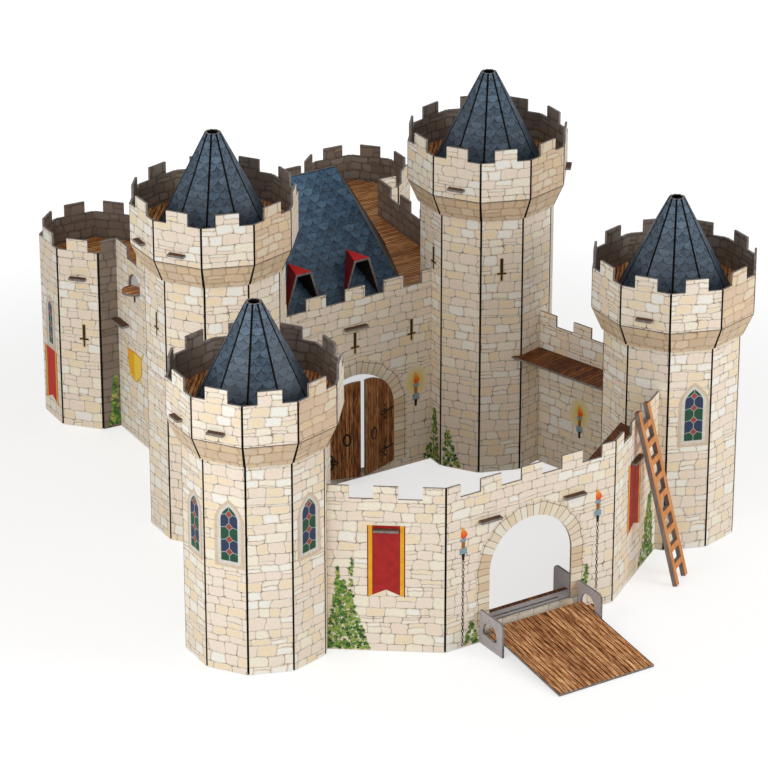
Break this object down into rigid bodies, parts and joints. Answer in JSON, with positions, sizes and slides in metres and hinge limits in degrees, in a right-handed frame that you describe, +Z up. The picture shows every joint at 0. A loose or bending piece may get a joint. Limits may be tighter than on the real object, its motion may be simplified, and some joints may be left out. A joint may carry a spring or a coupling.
{
  "type": "cardboard play castle",
  "caption": "Printed greyboard play castle with round towers and slate cones, a walled keep with a roof, a gate with a lowering drawbridge and a leaning ladder.",
  "frame": {"origin": "on the floor, at the middle of the castle's bounding box", "axes": "+X to the right along the gate wall, +Y from the drawbridge to the back wall, +Z up"},
  "size_m": [0.687, 0.9023, 0.4425],
  "materials": {
    "stone_print": "matte",
    "slate_print": "matte",
    "red_print": "matte",
    "plank_print": "matte"
  },
  "bodies": {
    "castle": {"back_left_tower_body": "stone_print", "back_left_tower_cap": "stone_print", "back_left_tower_cone": "slate_print", "back_left_tower_floor": "plank_print", "back_right_tower_body": "stone_print", "back_right_tower_cap": "stone_print", "back_right_tower_cone": "slate_print", "back_right_tower_floor": "plank_print", "bastion_floor": "plank_print", "dormer_left": "red_print", "dormer_right": "red_print", "front_left_tower_body": "stone_print", "front_left_tower_cap": "stone_print", "front_left_tower_cone": "slate_print", "front_left_tower_floor": "plank_print", "front_right_tower_body": "stone_print", "front_right_tower_cap": "stone_print", "front_right_tower_cone": "slate_print", "front_right_tower_floor": "plank_print", "gate_walkway": "plank_print", "gate_wall": "stone_print", "hinge_plate_left": "stone_print", "hinge_plate_right": "stone_print", "keep_deck": "plank_print", "keep_front_wall": "stone_print", "keep_outer_wall": "stone_print", "ladder": "plank_print", "left_curtain": "stone_print", "left_walkway": "plank_print", "right_curtain": "stone_print", "right_walkway": "plank_print", "roof": "slate_print", "threshold_board": "plank_print"},
    "drawbridge": {"drawbridge": "plank_print"}
  },
  "joints": [
    {"name": "drawbridge_hinge", "type": "hinge", "parent": "castle", "child": "drawbridge", "pos_m": [-0.00785, -0.33298, 0.016], "axis": [-1, 0, 0], "range_deg": [0, 104]}
  ]
}
